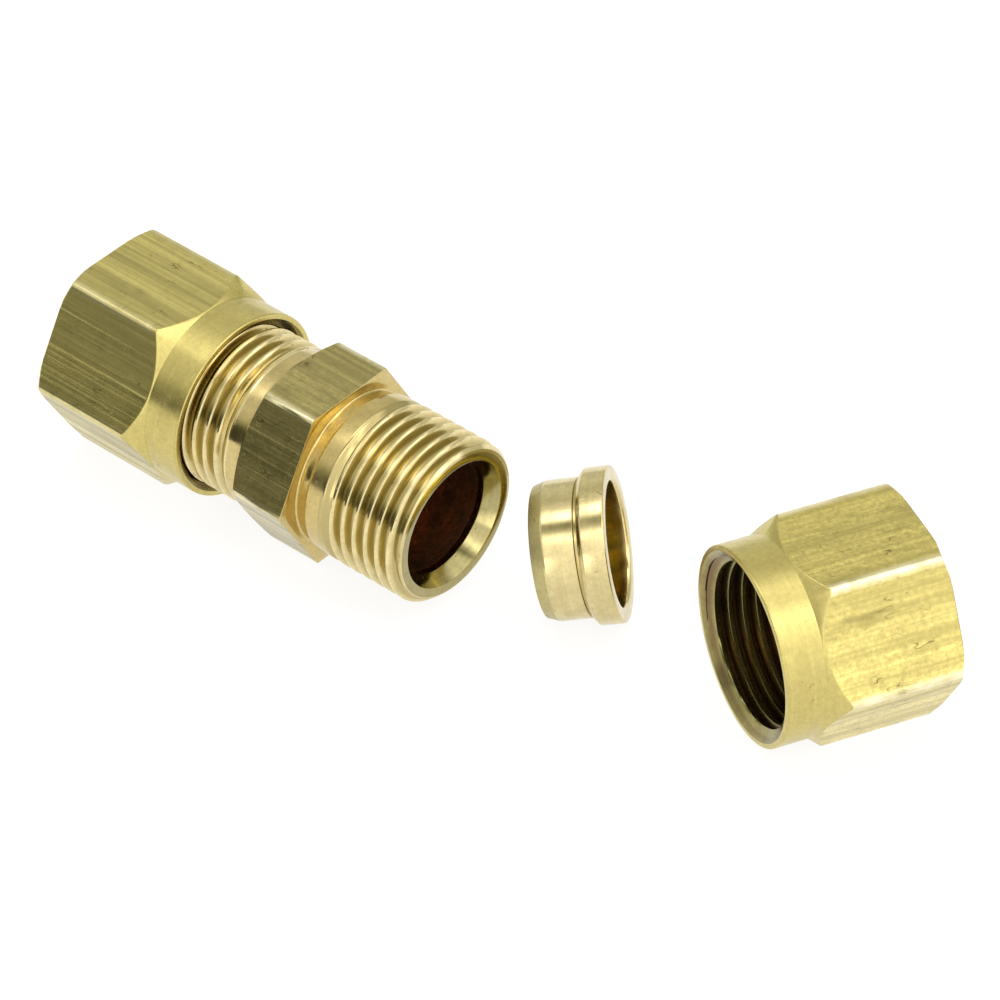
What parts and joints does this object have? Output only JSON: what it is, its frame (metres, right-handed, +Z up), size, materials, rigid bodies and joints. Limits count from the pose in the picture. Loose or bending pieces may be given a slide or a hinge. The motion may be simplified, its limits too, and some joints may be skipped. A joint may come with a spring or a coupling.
{
  "type": "compression union",
  "caption": "Brass compression union for 3/8 in tube: threaded body, two sleeves and two hexagon nuts, one end made up and one end taken apart.",
  "frame": {"origin": "middle of the whole layout's footprint, on the bench the pieces lie on", "axes": "+X along the body from the made-up left end to the open right end, +Z up"},
  "size_m": [0.0756, 0.029, 0.0159],
  "materials": {
    "body_brass": "turned and drawn brass, satin with bright crests",
    "nut_brass": "drawn hexagon bar with dull flats, turned collar",
    "sleeve_brass": "turned, satin"
  },
  "bodies": {
    "body": {"union_body": "body_brass"},
    "left_sleeve": {"left_sleeve": "sleeve_brass"},
    "left_nut": {"left_nut": "nut_brass"},
    "right_sleeve": {"right_sleeve": "sleeve_brass"},
    "right_nut": {"right_nut": "nut_brass"}
  },
  "joints": [
    {"name": "left_sleeve_slide", "type": "slide", "parent": "body", "child": "left_sleeve", "axis": [1, 0, 0], "range_m": [-0.0058, 0.00116]},
    {"name": "left_nut_turn", "type": "hinge", "parent": "left_sleeve", "child": "left_nut", "pos_m": [-0.03778, -0.00533, 0.00794], "axis": [1, 0, 0], "range_deg": [-1800, 360]},
    {"name": "right_sleeve_place", "type": "hinge", "parent": "body", "child": "right_sleeve", "pos_m": [-0.00181, 0.0015, 0.00966], "axis": [-0.6569, 0.0281, -0.7535], "range_deg": [0, 50.92]},
    {"name": "right_nut_place", "type": "hinge", "parent": "body", "child": "right_nut", "pos_m": [0.01584, 0.00425, 0.00794], "axis": [0, 0, -1], "range_deg": [0, 63.5]}
  ],
  "couplings": [
    {"joint": "left_sleeve_slide", "follows": "left_nut_turn", "m_per_rad": 0.00018303}
  ]
}
